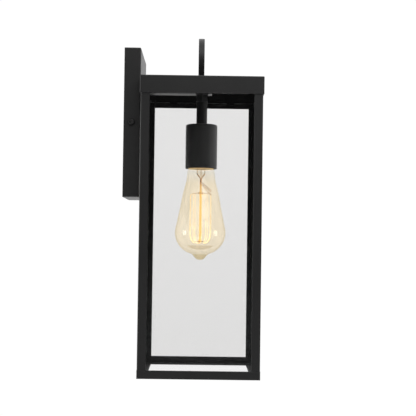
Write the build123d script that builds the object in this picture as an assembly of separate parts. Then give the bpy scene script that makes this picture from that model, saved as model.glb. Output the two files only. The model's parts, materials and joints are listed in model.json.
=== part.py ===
from build123d import *
from collections import namedtuple
import math
import os

# Outdoor wall lantern. The wall is the plane Y = 0 and the lantern stands out towards -Y.
# X runs along the wall and Z is up. The origin is the centre of the backplate on the wall.
# All lengths are in millimetres.

Screw = namedtuple("Screw", "radius head_radius head_height")

# Gaps between parts
SLIDE_GAP = 0.2
TAP_GAP = 0.05
CUT = 1.0

# Backplate: a pan, open towards the wall, with a gasket round its rim
PLATE_WIDTH = 114.0
PLATE_HEIGHT = 181.0
PLATE_DEPTH = 20.0
PLATE_WALL = 1.2
PLATE_EDGE_RADIUS = 1.5
GASKET_GAP = 0.1
GASKET_WIDTH = 3.0
GASKET_DEPTH = 3.0
GROMMET_Z = 49.0
GROMMET_HOLE = 3.6
GROMMET_BORE = 2.4
GROMMET_WEB = 5.0
GROMMET_COLLAR = 4.6
GROMMET_COLLAR_DEPTH = 1.2

# Screws
M4 = Screw(2.0, 3.9, 2.4)
M4_NUT_FLATS = 7.0
M4_NUT_HEIGHT = 3.2
M4_SHOW = 0.6
RING_SCREW = Screw(2.4, 4.5, 1.8)
BRIDGE_SCREW = Screw(1.45, 2.6, 1.9)
TERMINAL_SCREW = Screw(1.45, 2.8, 1.8)
MOUNT_SCREW_X = 50.0
MOUNT_SCREW_Z = 47.0
SIDE_SCREW_Y = -9.3
SIDE_SCREW_LENGTH = 14.0

# Crossbar: a channel in the pan that screws to the junction box
BAR_HALF_WIDTH = 52.4
BAR_HALF_HEIGHT = 12.5
BAR_SHEET = 2.0
EAR_HALF_HEIGHT = 9.0
EAR_DEPTH = 17.0
EAR_BEND = 1.0
BOX_SCREW_SPACING = 88.9
BOX_SLOT_LENGTH = 9.0
BOX_SLOT_RADIUS = 2.4

# Ground wire, with a ring terminal at either end
GROUND_X = -20.0
STUD_X = -38.0
STUD_Z = -50.0
STUD_LENGTH = 9.0
TERMINAL_SHEET = 0.8
TERMINAL_RADIUS = 4.4
BARREL_RADIUS = 1.7
BARREL_LENGTH = 8.0
BARREL_FLOOR = TERMINAL_RADIUS + 0.8
BARREL_OVERLAP = 0.3
GROUND_BEND_HIGH_Z = -20.0
GROUND_BEND_LOW_Z = -30.0
GROUND_BEND_RADIUS = 9.0
WIRE_RADIUS = 1.0
WIRE_PITCH = 2.1

# Cap: a shallow tray, upside down, against the backplate's front
CAP_SIDE = 148.6
CAP_HEIGHT = 21.0
CAP_WALL = 1.3
CAP_TOP_Z = 55.0
CAP_EDGE_RADIUS = 1.2

# Frame: four posts on a ring of four mitred rails
FRAME_SIDE = CAP_SIDE - 2 * CAP_WALL
BODY_HEIGHT = 361.0
POST_FACE = 10.5
POST_WALL = 1.2
POST_EDGE_RADIUS = 1.0
RAIL_HEIGHT = 10.0
RAIL_FLANGE = 10.8
RAIL_PROUD = 0.3
RAIL_WALL = 1.5

# Glass panes and the bent clips that hold their tops
PANE_THICKNESS = 2.0
PANE_GAP = 0.2
PANE_TOP_Z = 41.0
CLIP_WIDTH = 10.0
CLIP_DROP = 16.0
CLIP_FOOT = 8.0
CLIP_SHEET = 0.8
CLIP_TOE = 1.6
CLIP_OFFSET = 38.0

# Strap: a channel that hangs under the cap, open upwards
STRAP_WIDTH = 20.0
STRAP_SHEET = 2.0
STRAP_DROP = 12.9
STRAP_PAST_AXIS = 13.0
STRAP_BEND = 1.5

# Ring on the cap, in a plane parallel to the wall
RING_RADIUS = 29.0
RING_BAR = 4.5
RING_WIDTH = 7.4
RING_SUNK = 0.3
RING_SHIFT = 1.2
RING_EDGE_RADIUS = 0.7
RING_SCREW_REACH = 3.4
RING_WASHER_HEIGHT = 0.6
RING_WASHER_RADIUS = 6.0

# Stem, from the strap to the socket cup, on a threaded nipple
STEM_RADIUS = 6.75
STEM_BORE = 5.2
NIPPLE_RADIUS = 4.85
NIPPLE_BORE = 3.5
NIPPLE_SHOW = 0.2
NUT_FLATS = 14.0
NUT_CHAMFER = 0.5
TOP_NUT_HEIGHT = 3.0
STEM_NUT_HEIGHT = 8.2
CUP_NUT_HEIGHT = 5.0
WASHER_HEIGHT = 1.0
WASHER_RADIUS = 7.8
CUP_RADIUS = 19.9
CUP_HEIGHT = 55.4
CUP_WALL = 0.9
CUP_TOP_WALL = 1.0
CUP_TOP_Z = 3.8
CUP_EDGE_RADIUS = 2.0
CUP_INNER_EDGE_RADIUS = 1.2
GROOVE_RISE = 2.2
GROOVE_WIDTH = 0.8
GROOVE_DEPTH = 0.35

# Socket inside the cup: bridge, insulator, screw shell and contacts
BRIDGE_SHEET = 1.2
BRIDGE_WIDTH = 14.0
BRIDGE_LEG = 14.4
BRIDGE_FOOT = 9.0
BRIDGE_SCREW_Y = 11.7
BRIDGE_SCREW_LENGTH = 5.0
BODY_RADIUS = 17.5
BODY_TOP_Z = -11.0
BODY_SHOULDER_Z = -20.0
BODY_ABOVE_CUP_EDGE = 5.0
POCKET_RADIUS = 9.0
SHELL_BORE = 13.35
SHELL_WALL = 0.5
SHELL_GAP = 0.3
SHELL_TOP_Z = -24.0
SHELL_LOW_Z = -46.0
SHELL_RIVET_X = 11.6
SHELL_RIVET_RADIUS = 1.0
SHELL_RIVET_HEAD = 1.7
SHELL_RIVET_TAIL = 1.5
SHELL_RIVET_HEIGHT = 0.7
CONTACT_GAP = 0.1
CONTACT_SHEET = 0.5
CONTACT_HALF_WIDTH = 3.0
CONTACT_FRONT_Y = -3.5
CONTACT_BEND_Y = 2.5
CONTACT_REAR_Y = 8.0
CONTACT_RIVET_Y = 5.5
CONTACT_RIVET_RADIUS = 1.2
CONTACT_RIVET_HEAD = 2.0
CONTACT_RIVET_HEIGHT = 0.6
TERMINAL_X = 10.0
TERMINAL_Z = -15.5
TERMINAL_PLATE_HALF = 4.0
TERMINAL_SCREW_LENGTH = 5.8
TERMINAL_SCREW_HOLE = 6.0

# Live and neutral wires, with their connectors in the pan
CONNECTOR_X = 10.0
CONNECTOR_Y = -9.0
CONNECTOR_MOUTH_Z = 37.0
CONNECTOR_LENGTH = 21.0
CONNECTOR_RADIUS = 3.6
CONNECTOR_TAPER = -4.0
CONNECTOR_BORE = 1.6
CONNECTOR_BORE_DEPTH = 10.0
WIRE_IN_CONNECTOR = 8.0
WIRE_RISE_Z = 41.0
WIRE_PAN_Y = -10.0
WIRE_PAN_RADIUS = 4.0
WIRE_TURN = 3.0
WIRE_OUT_X = 14.5

# Bulb: tapered 64 mm bulb, 145 mm long, with a medium screw base
BULB_LENGTH = 145.0
BULB_BELOW_CUP = 115.0
BULB_WALL = 0.8
NECK_RADIUS = 11.5
NECK_LOW = -4.2
NECK_IN_BASE = 6.0
BASE_LOW = -4.6
BASE_LENGTH = 20.0
BASE_SHOULDER = 1.5
THREAD_PITCH = 3.629
THREAD_ROOT = 12.2
THREAD_CREST = 13.0
THREAD_WALL = 0.5
THREAD_TURNS = 4.25
THREAD_START = 1.6
INSULATOR_RADIUS = 9.0
INSULATOR_BULGE = 0.6
INSULATOR_TOP_RADIUS = 5.6
CONTACT_TIP_HEIGHT = 1.9
CONTACT_TIP_RADIUS = 4.8

# Bulb envelope: (depth below the cup's edge, radius)
BULB_OUTLINE = (
    (0.0, 16.0), (15.0, 18.5), (32.0, 22.8), (49.0, 26.0), (66.0, 29.5), (81.0, 32.0),
    (91.0, 30.0), (99.5, 24.3), (104.5, 17.8), (107.5, 10.8), (111.5, 6.3),
)

# Inside the bulb: glass stem and rod, and the filament cage on its supports
PRESS_TOP = 4.0
PRESS_LOW = 12.0
PRESS_HALF_WIDTH = 4.6
PRESS_HALF_THICKNESS = 1.8
PRESS_EDGE_RADIUS = 1.2
STEM_GLASS_OUTLINE = (
    (-8.0, 10.65), (-7.2, 10.65), (-4.0, 5.2), (4.0, 4.6), (4.0, 0.0),
    (3.0, 0.0), (3.0, 3.8), (-4.0, 4.4), (-8.0, 9.5),
)
ROD_RADIUS = 1.3
HUB_RADIUS = 2.6
HUB_TOP = 31.0
HUB_LOW = 91.0
CAGE_RADIUS = 13.6
CAGE_STRANDS = 10
CAGE_TOP = 34.0
CAGE_LOW = 90.0
SUPPORT_RADIUS = 0.4
FILAMENT_RADIUS = 0.25
LEAD_START_X = 3.2
LEAD_GAP = 0.4

# Worked out from the above
PAN_FLOOR_Y = -PLATE_DEPTH + PLATE_WALL
CAP_BACK_Y = -PLATE_DEPTH
CAP_INNER_BACK_Y = CAP_BACK_Y - CAP_WALL
AXIS_Y = -(PLATE_DEPTH + CAP_SIDE / 2)
CAP_UNDER_Z = CAP_TOP_Z - CAP_WALL
BODY_LOW_Z = CAP_TOP_Z - BODY_HEIGHT
FRAME_HALF = FRAME_SIDE / 2
RAIL_HALF = FRAME_HALF + RAIL_PROUD
RAIL_TOP_Z = BODY_LOW_Z + RAIL_HEIGHT
PANE_OUTER = FRAME_HALF - POST_WALL - PANE_GAP
PANE_INNER = PANE_OUTER - PANE_THICKNESS
RING_SEAT_Z = CAP_UNDER_Z - RING_WASHER_HEIGHT
RING_Y = AXIS_Y + RING_SHIFT
STRAP_Z = CAP_TOP_Z - STRAP_DROP
STRAP_TOP_Z = STRAP_Z + STRAP_SHEET
STEM_TOP_Z = STRAP_Z - WASHER_HEIGHT - STEM_NUT_HEIGHT
CUP_LOW_Z = CUP_TOP_Z - CUP_HEIGHT
CUP_CEILING_Z = CUP_TOP_Z - CUP_TOP_WALL
BRIDGE_Z = CUP_CEILING_Z - BRIDGE_SHEET
NIPPLE_LOW_Z = BRIDGE_Z - CUP_NUT_HEIGHT - 1.0
NIPPLE_TOP_Z = STRAP_TOP_Z + TOP_NUT_HEIGHT + NIPPLE_SHOW
NIPPLE_HOLE = NIPPLE_RADIUS + SLIDE_GAP
TAPPED_M4 = M4.radius + TAP_GAP
CLEAR_M4 = M4.radius + SLIDE_GAP
BODY_BOTTOM_Z = CUP_LOW_Z + BODY_ABOVE_CUP_EDGE
BULB_TIP_Z = CUP_LOW_Z - BULB_BELOW_CUP
CONTACT_Z = BULB_TIP_Z + BULB_LENGTH
BASE_LOW_Z = CUP_LOW_Z - BASE_LOW
BASE_TOP_Z = BASE_LOW_Z + BASE_LENGTH

parts = {}


def block(x, y, z):
    """A box between (low, high) pairs along X, Y and Z."""
    size = [high - low for low, high in (x, y, z)]
    centre = [(low + high) / 2 for low, high in (x, y, z)]
    return Pos(*centre) * Box(*size)


def rod(radius, start, end):
    """A solid cylinder between two points."""
    line = Vector(*end) - Vector(*start)
    return Solid.make_cylinder(radius, line.length, Plane(origin=start, z_dir=line))


def column(radius, low, high, x=0.0, y=0.0):
    """An upright cylinder, placed from the lantern's axis."""
    return rod(radius, (x, AXIS_Y + y, low), (x, AXIS_Y + y, high))


def tube(outer, inner, low, high):
    """An upright tube on the lantern's axis."""
    return column(outer, low, high) - column(inner, low - CUT, high + CUT)


def turned(points):
    """A solid of revolution about the lantern's axis, from (radius, z) points."""
    outline = Polyline(*[(radius, 0, z) for radius, z in points], close=True)
    return Pos(0, AXIS_Y, 0) * revolve(make_face(outline), Axis.Z)


def depth(below):
    """The height of a point this far below the socket cup's edge."""
    return CUP_LOW_Z - below


def hex_nut(bore, low, high):
    """An upright hex nut on the lantern's axis, with its corners chamfered."""
    section = RegularPolygon(NUT_FLATS / 2, 6, major_radius=False) - Circle(bore)
    nut = Pos(0, AXIS_Y, low) * extrude(section, high - low)
    corner = NUT_FLATS / math.sqrt(3)
    flat = corner - NUT_CHAMFER
    return nut & turned([
        (0, low), (flat, low), (corner, low + NUT_CHAMFER),
        (corner, high - NUT_CHAMFER), (flat, high), (0, high),
    ])


def side_nut(x, back_y, z, out):
    """An M4 nut on a screw along Y. out is the side it lies on."""
    section = RegularPolygon(M4_NUT_FLATS / 2, 6, major_radius=False) - Circle(TAPPED_M4)
    plane = Plane((x, back_y, z), x_dir=(1, 0, 0), z_dir=(0, out, 0))
    return extrude(plane * section, M4_NUT_HEIGHT)


def pan_screw(screw, seat, tip, outward):
    """A cross-recessed pan-head screw: its shank runs from seat to tip, outward is the head's side."""
    plane = Plane(origin=seat, z_dir=outward)
    head = extrude(plane * Circle(screw.head_radius), screw.head_height)
    rim = head.faces().sort_by(Axis(seat, outward))[-1].edges()
    head = fillet(rim, screw.head_height * 0.45)
    long_side = screw.head_radius * 1.1
    short_side = screw.head_radius * 0.26
    cross = Rectangle(long_side, short_side) + Rectangle(short_side, long_side)
    recess = extrude(plane.offset(screw.head_height) * cross, -screw.head_height * 0.55)
    return rod(screw.radius, seat, tip) + head - recess


def wire(points, radii):
    """A round wire along straight runs joined by arcs."""
    path = FilletPolyline(*points, radius=radii)
    section = Plane(origin=path @ 0, z_dir=path % 0) * Circle(WIRE_RADIUS)
    return sweep(section, path=path)


def quarter_turns(solid):
    """The solid and its copies at a quarter, a half and three quarters of a turn about the lantern's axis."""
    axis = Axis((0, AXIS_Y, 0), (0, 0, 1))
    return [solid.rotate(axis, 90 * turn) for turn in range(4)]


def low_high(a, b):
    """Two values in rising order."""
    return min(a, b), max(a, b)


# Backplate and gasket


def make_backplate():
    half = PLATE_WIDTH / 2
    pan = block((-half, half), (-PLATE_DEPTH, 0), (-PLATE_HEIGHT / 2, PLATE_HEIGHT / 2))
    pan = fillet(pan.edges().filter_by(Axis.Y), PLATE_EDGE_RADIUS)
    pan = fillet(pan.faces().sort_by(Axis.Y)[0].edges(), PLATE_EDGE_RADIUS)
    inside = half - PLATE_WALL
    inside_z = PLATE_HEIGHT / 2 - PLATE_WALL
    pan -= block((-inside, inside), (PAN_FLOOR_Y, CUT), (-inside_z, inside_z))
    outside_y = -PLATE_DEPTH - CUT
    pan -= rod(GROMMET_HOLE, (0, outside_y, GROMMET_Z), (0, PAN_FLOOR_Y + CUT, GROMMET_Z))
    for side in (-1, 1):
        x = side * MOUNT_SCREW_X
        pan -= rod(CLEAR_M4, (x, outside_y, MOUNT_SCREW_Z), (x, PAN_FLOOR_Y + CUT, MOUNT_SCREW_Z))
        pan -= rod(CLEAR_M4, (side * (inside - CUT), SIDE_SCREW_Y, 0), (side * (half + CUT), SIDE_SCREW_Y, 0))
    return pan


def make_gasket():
    x = PLATE_WIDTH / 2 - PLATE_WALL - GASKET_GAP
    z = PLATE_HEIGHT / 2 - PLATE_WALL - GASKET_GAP
    outside = block((-x, x), (-GASKET_DEPTH, 0), (-z, z))
    x -= GASKET_WIDTH
    z -= GASKET_WIDTH
    return outside - block((-x, x), (-GASKET_DEPTH - CUT, CUT), (-z, z))


parts["backplate"] = [make_backplate()]
parts["wall_gasket"] = [make_gasket()]

# Crossbar, with the side screws that hold the pan on it


def bent_channel(half_width, y, z, bend):
    """A block along X whose two upright edges nearest the wall are rounded."""
    channel = block((-half_width, half_width), y, z)
    bends = channel.edges().filter_by(Axis.Z).sort_by(Axis.Y)[-2:]
    return fillet(bends, bend)


def make_crossbar():
    z = (-BAR_HALF_HEIGHT, BAR_HALF_HEIGHT)
    between = BAR_HALF_WIDTH - BAR_SHEET
    past = BAR_HALF_WIDTH + CUT
    bar = bent_channel(BAR_HALF_WIDTH, (-EAR_DEPTH, 0), z, EAR_BEND + BAR_SHEET)
    bar -= bent_channel(between, (-EAR_DEPTH - CUT, -BAR_SHEET), z, EAR_BEND)
    for side in (-1, 1):
        shoulder = low_high(side * EAR_HALF_HEIGHT, side * (BAR_HALF_HEIGHT + CUT))
        bar -= block((-past, past), (-EAR_DEPTH - CUT, -BAR_SHEET - EAR_BEND), shoulder)
        plane = Plane((side * BOX_SCREW_SPACING / 2, CUT, 0), x_dir=(1, 0, 0), z_dir=(0, -1, 0))
        slot = SlotOverall(BOX_SLOT_LENGTH, BOX_SLOT_RADIUS * 2)
        bar -= extrude(plane * slot, BAR_SHEET + 2 * CUT)
        bar -= rod(TAPPED_M4, (side * (between - CUT), SIDE_SCREW_Y, 0), (side * past, SIDE_SCREW_Y, 0))
    return bar - rod(TAPPED_M4, (GROUND_X, CUT, 0), (GROUND_X, -BAR_SHEET - CUT, 0))


parts["crossbar"] = [make_crossbar()]

for side, name in ((-1, "side_screw_left"), (1, "side_screw_right")):
    seat = (side * PLATE_WIDTH / 2, SIDE_SCREW_Y, 0)
    tip = (side * (PLATE_WIDTH / 2 - SIDE_SCREW_LENGTH), SIDE_SCREW_Y, 0)
    parts[name] = [pan_screw(M4, seat, tip, (side, 0, 0))]

# Ground wire, from the crossbar to a stud in the pan


def ring_terminal(x, back_y, z, out, down):
    """A ring on a stud along Y, with its barrel along Z. out is its side of back_y, down its barrel's way."""
    near, far = low_high(back_y, back_y + out * TERMINAL_SHEET)
    ring = rod(TERMINAL_RADIUS, (x, near, z), (x, far, z))
    ring -= rod(CLEAR_M4, (x, near - CUT, z), (x, far + CUT, z))
    y = back_y + out * BARREL_RADIUS
    start = z + down * (TERMINAL_RADIUS - BARREL_OVERLAP)
    end = start + down * BARREL_LENGTH
    barrel = rod(BARREL_RADIUS, (x, y, start), (x, y, end))
    bore = rod(WIRE_RADIUS + TAP_GAP, (x, y, z + down * BARREL_FLOOR), (x, y, end + down * CUT))
    return ring + barrel - bore


bar_barrel_y = -BAR_SHEET - BARREL_RADIUS
stud_barrel_y = PAN_FLOOR_Y + BARREL_RADIUS
ground_seat_y = -BAR_SHEET - TERMINAL_SHEET

parts["ground_screw"] = [pan_screw(M4, (GROUND_X, ground_seat_y, 0), (GROUND_X, 0, 0), (0, -1, 0))]
parts["ground_ring_terminals"] = [
    ring_terminal(GROUND_X, -BAR_SHEET, 0, -1, -1),
    ring_terminal(STUD_X, PAN_FLOOR_Y, STUD_Z, 1, 1),
]
stud_tip_y = PAN_FLOOR_Y + STUD_LENGTH
parts["ground_stud"] = [rod(M4.radius, (STUD_X, PAN_FLOOR_Y, STUD_Z), (STUD_X, stud_tip_y, STUD_Z))]
parts["ground_stud_nut"] = [side_nut(STUD_X, PAN_FLOOR_Y + TERMINAL_SHEET, STUD_Z, 1)]
parts["ground_wire"] = [wire([
    (GROUND_X, bar_barrel_y, -BARREL_FLOOR),
    (GROUND_X, bar_barrel_y, GROUND_BEND_HIGH_Z),
    (STUD_X, stud_barrel_y, GROUND_BEND_LOW_Z),
    (STUD_X, stud_barrel_y, STUD_Z + BARREL_FLOOR),
], [GROUND_BEND_RADIUS, GROUND_BEND_RADIUS])]

# Cap, with the screws that hold it on the backplate, and the grommet


def make_cap():
    half = CAP_SIDE / 2
    low = CAP_TOP_Z - CAP_HEIGHT
    cap = block((-half, half), (AXIS_Y - half, AXIS_Y + half), (low, CAP_TOP_Z))
    cap = fillet(cap.edges().filter_by(Axis.Z), CAP_EDGE_RADIUS)
    cap = fillet(cap.faces().sort_by(Axis.Z)[-1].edges(), CAP_EDGE_RADIUS)
    inner = (AXIS_Y - FRAME_HALF, AXIS_Y + FRAME_HALF)
    cap -= block((-FRAME_HALF, FRAME_HALF), inner, (low - CUT, CAP_UNDER_Z))
    near = CAP_BACK_Y + CUT
    far = CAP_INNER_BACK_Y - CUT
    cap -= rod(GROMMET_HOLE, (0, near, GROMMET_Z), (0, far, GROMMET_Z))
    for x in (-MOUNT_SCREW_X, MOUNT_SCREW_X):
        cap -= rod(CLEAR_M4, (x, near, MOUNT_SCREW_Z), (x, far, MOUNT_SCREW_Z))
    return cap - column(RING_SCREW.radius + SLIDE_GAP, CAP_UNDER_Z - CUT, CAP_TOP_Z + CUT, y=RING_SHIFT)


def make_mounting_screw(x):
    tip_y = CAP_INNER_BACK_Y - M4_NUT_HEIGHT - M4_SHOW
    return pan_screw(M4, (x, PAN_FLOOR_Y, MOUNT_SCREW_Z), (x, tip_y, MOUNT_SCREW_Z), (0, 1, 0))


def make_grommet():
    near = PAN_FLOOR_Y
    far = CAP_INNER_BACK_Y - STRAP_SHEET
    body = rod(GROMMET_HOLE, (0, near, GROMMET_Z), (0, far, GROMMET_Z))
    for start, way in ((near, 1), (far, -1)):
        body += rod(GROMMET_COLLAR, (0, start, GROMMET_Z), (0, start + way * GROMMET_COLLAR_DEPTH, GROMMET_Z))
    return body - rod(GROMMET_BORE, (0, near + GROMMET_WEB, GROMMET_Z), (0, far - GROMMET_WEB, GROMMET_Z))


parts["top_cap"] = [make_cap()]
parts["mounting_screws"] = [make_mounting_screw(x) for x in (-MOUNT_SCREW_X, MOUNT_SCREW_X)]
parts["mounting_nuts"] = [
    side_nut(x, CAP_INNER_BACK_Y, MOUNT_SCREW_Z, -1) for x in (-MOUNT_SCREW_X, MOUNT_SCREW_X)
]
parts["wire_grommet"] = [make_grommet()]

# Strap under the cap


def make_strap():
    x = (-STRAP_WIDTH / 2, STRAP_WIDTH / 2)
    rear = CAP_INNER_BACK_Y
    front = AXIS_Y - STRAP_PAST_AXIS
    strap = block(x, (front, rear), (STRAP_Z, STRAP_TOP_Z))
    strap += block(x, (rear - STRAP_SHEET, rear), (STRAP_Z, CAP_UNDER_Z))
    strap += block(x, (front, front + STRAP_SHEET), (STRAP_Z, CAP_UNDER_Z))
    strap = fillet(strap.faces().sort_by(Axis.Z)[0].edges().filter_by(Axis.X), STRAP_BEND)
    strap -= column(NIPPLE_HOLE, STRAP_Z - CUT, STRAP_TOP_Z + CUT)
    return strap - rod(GROMMET_HOLE, (0, rear + CUT, GROMMET_Z), (0, rear - STRAP_SHEET - CUT, GROMMET_Z))


parts["strap_bracket"] = [make_strap()]

# Ring handle and its screw


def make_ring():
    plane = Plane((0, RING_Y, CAP_TOP_Z + RING_RADIUS - RING_SUNK), x_dir=(1, 0, 0), z_dir=(0, -1, 0))
    section = Circle(RING_RADIUS) - Circle(RING_RADIUS - RING_BAR)
    ring = extrude(plane * section, RING_WIDTH / 2, both=True)
    ring = fillet(ring.edges().filter_by(GeomType.CIRCLE), RING_EDGE_RADIUS)
    y = (RING_Y - RING_WIDTH, RING_Y + RING_WIDTH)
    ring -= block((-RING_RADIUS, RING_RADIUS), y, (CAP_UNDER_Z, CAP_TOP_Z))
    tapped_top = CAP_TOP_Z + RING_SCREW_REACH + SLIDE_GAP
    return ring - column(RING_SCREW.radius + TAP_GAP, CAP_UNDER_Z, tapped_top, y=RING_SHIFT)


def make_ring_screw():
    tip = (0, RING_Y, CAP_TOP_Z + RING_SCREW_REACH)
    return pan_screw(RING_SCREW, (0, RING_Y, RING_SEAT_Z), tip, (0, 0, -1))


def make_ring_washer():
    washer = column(RING_WASHER_RADIUS, RING_SEAT_Z, CAP_UNDER_Z, y=RING_SHIFT)
    return washer - column(RING_SCREW.radius + SLIDE_GAP, RING_SEAT_Z - CUT, CAP_UNDER_Z + CUT, y=RING_SHIFT)


parts["ring_handle"] = [make_ring()]
parts["ring_screw"] = [make_ring_screw()]
parts["ring_washer"] = [make_ring_washer()]

# Posts


def make_post():
    """The post at +X, +Y of the lantern's axis."""
    low = FRAME_HALF - POST_FACE
    inside = FRAME_HALF - POST_WALL
    post = block((low, FRAME_HALF), (AXIS_Y + low, AXIS_Y + FRAME_HALF), (RAIL_TOP_Z, CAP_UNDER_Z))
    hollow = (AXIS_Y + low - CUT, AXIS_Y + inside)
    post -= block((low - CUT, inside), hollow, (RAIL_TOP_Z - CUT, CAP_UNDER_Z + CUT))
    corner = post.edges().filter_by(Axis.Z).sort_by(lambda edge: edge.center().X + edge.center().Y)[-1]
    return fillet(corner, POST_EDGE_RADIUS)


post_names = ("post_rear_right", "post_rear_left", "post_front_left", "post_front_right")
for name, post in zip(post_names, quarter_turns(make_post())):
    parts[name] = [post]

# Bottom rails, mitred at the corners


def square_block(half, low, high):
    """A square block on the lantern's axis."""
    return block((-half, half), (AXIS_Y - half, AXIS_Y + half), (low, high))


def make_rail_ring():
    ring = square_block(RAIL_HALF, BODY_LOW_Z, RAIL_TOP_Z)
    ring = fillet(ring.edges().filter_by(Axis.Z), POST_EDGE_RADIUS)
    ring -= square_block(RAIL_HALF - RAIL_WALL, BODY_LOW_Z + RAIL_WALL, RAIL_TOP_Z + CUT)
    return ring - square_block(RAIL_HALF - RAIL_FLANGE, BODY_LOW_Z - CUT, RAIL_TOP_Z)


def make_rear_sector():
    """A wedge that holds the rear quarter of the lantern's foot."""
    outline = Polyline((0, 0), (CAP_SIDE, CAP_SIDE), (-CAP_SIDE, CAP_SIDE), close=True)
    return Pos(0, AXIS_Y, BODY_LOW_Z - CUT) * extrude(make_face(outline), RAIL_HEIGHT + 2 * CUT)


rail_ring = make_rail_ring()
rail_names = ("bottom_rail_rear", "bottom_rail_left", "bottom_rail_front", "bottom_rail_right")
for name, sector in zip(rail_names, quarter_turns(make_rear_sector())):
    parts[name] = [rail_ring & sector]

# Panes: the front and rear ones run past the ends of the side ones

pane_z = (BODY_LOW_Z + RAIL_WALL, PANE_TOP_Z)
side_reach = PANE_INNER - PANE_GAP
for side, end_name, side_name in ((1, "glass_rear", "glass_right"), (-1, "glass_front", "glass_left")):
    low, high = low_high(side * PANE_INNER, side * PANE_OUTER)
    parts[end_name] = [block((-PANE_OUTER, PANE_OUTER), (AXIS_Y + low, AXIS_Y + high), pane_z)]
    parts[side_name] = [block((low, high), (AXIS_Y - side_reach, AXIS_Y + side_reach), pane_z)]


def make_clip_pair():
    """Two clips on the rear side: a foot under the cap, a leg, and a toe bent away from the glass."""
    face = AXIS_Y + PANE_INNER
    low = CAP_UNDER_Z - CLIP_DROP
    under_foot = CAP_UNDER_Z - CLIP_SHEET
    outline = Polyline(
        (face, CAP_UNDER_Z),
        (face, low + CLIP_TOE),
        (face - CLIP_TOE, low),
        (face - CLIP_TOE - CLIP_SHEET, low + CLIP_SHEET * 0.6),
        (face - CLIP_SHEET, low + CLIP_TOE + CLIP_SHEET),
        (face - CLIP_SHEET, under_foot),
        (face - CLIP_FOOT, under_foot),
        (face - CLIP_FOOT, CAP_UNDER_Z),
        close=True,
    )
    pair = []
    for x in (-CLIP_OFFSET, CLIP_OFFSET):
        plane = Plane((x - CLIP_WIDTH / 2, 0, 0), x_dir=(0, 1, 0), z_dir=(1, 0, 0))
        pair.append(extrude(plane * make_face(outline), CLIP_WIDTH))
    return pair


parts["glass_clips"] = [clip for rear_clip in make_clip_pair() for clip in quarter_turns(rear_clip)]

# Nipple, nuts, stem and cup


def make_cup():
    cup = column(CUP_RADIUS, CUP_LOW_Z, CUP_TOP_Z)
    cup = fillet(cup.edges().sort_by(Axis.Z)[-1], CUP_EDGE_RADIUS)
    hollow = column(CUP_RADIUS - CUP_WALL, CUP_LOW_Z - CUT, CUP_CEILING_Z)
    cup -= fillet(hollow.edges().sort_by(Axis.Z)[-1], CUP_INNER_EDGE_RADIUS)
    groove_z = CUP_LOW_Z + GROOVE_RISE
    cup -= tube(CUP_RADIUS + CUT, CUP_RADIUS - GROOVE_DEPTH, groove_z, groove_z + GROOVE_WIDTH)
    return cup - column(NIPPLE_HOLE, CUP_CEILING_Z - CUT, CUP_TOP_Z + CUT)


nut_bore = NIPPLE_RADIUS + TAP_GAP
parts["threaded_nipple"] = [tube(NIPPLE_RADIUS, NIPPLE_BORE, NIPPLE_LOW_Z, NIPPLE_TOP_Z)]
parts["top_lock_nut"] = [hex_nut(nut_bore, STRAP_TOP_Z, STRAP_TOP_Z + TOP_NUT_HEIGHT)]
parts["lock_washer"] = [tube(WASHER_RADIUS, NIPPLE_HOLE, STRAP_Z - WASHER_HEIGHT, STRAP_Z)]
parts["stem_nut"] = [hex_nut(nut_bore, STEM_TOP_Z, STEM_TOP_Z + STEM_NUT_HEIGHT)]
parts["stem_tube"] = [tube(STEM_RADIUS, STEM_BORE, CUP_TOP_Z, STEM_TOP_Z)]
parts["cup_nut"] = [hex_nut(nut_bore, BRIDGE_Z - CUP_NUT_HEIGHT, BRIDGE_Z)]
parts["socket_cup"] = [make_cup()]

# Socket: bridge, insulator, screw shell and contacts

bridge_seat_z = BODY_TOP_Z + BRIDGE_SHEET
shell_floor_z = SHELL_TOP_Z - SHELL_WALL
tongue_z = CONTACT_Z + CONTACT_GAP


def make_bridge():
    x = (-BRIDGE_WIDTH / 2, BRIDGE_WIDTH / 2)
    reach = BRIDGE_LEG + BRIDGE_SHEET
    bridge = block(x, (AXIS_Y - reach, AXIS_Y + reach), (BRIDGE_Z, CUP_CEILING_Z))
    for side in (-1, 1):
        leg = low_high(AXIS_Y + side * BRIDGE_LEG, AXIS_Y + side * reach)
        foot = low_high(AXIS_Y + side * BRIDGE_FOOT, AXIS_Y + side * reach)
        bridge += block(x, leg, (BODY_TOP_Z, CUP_CEILING_Z))
        bridge += block(x, foot, (BODY_TOP_Z, bridge_seat_z))
        hole = BRIDGE_SCREW.radius + SLIDE_GAP
        bridge -= column(hole, BODY_TOP_Z - CUT, bridge_seat_z + CUT, y=side * BRIDGE_SCREW_Y)
    return bridge - column(NIPPLE_HOLE, BRIDGE_Z - CUT, CUP_CEILING_Z + CUT)


def make_bridge_screw(y):
    tip_z = BODY_TOP_Z - BRIDGE_SCREW_LENGTH
    return pan_screw(BRIDGE_SCREW, (0, AXIS_Y + y, bridge_seat_z), (0, AXIS_Y + y, tip_z), (0, 0, 1))


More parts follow.
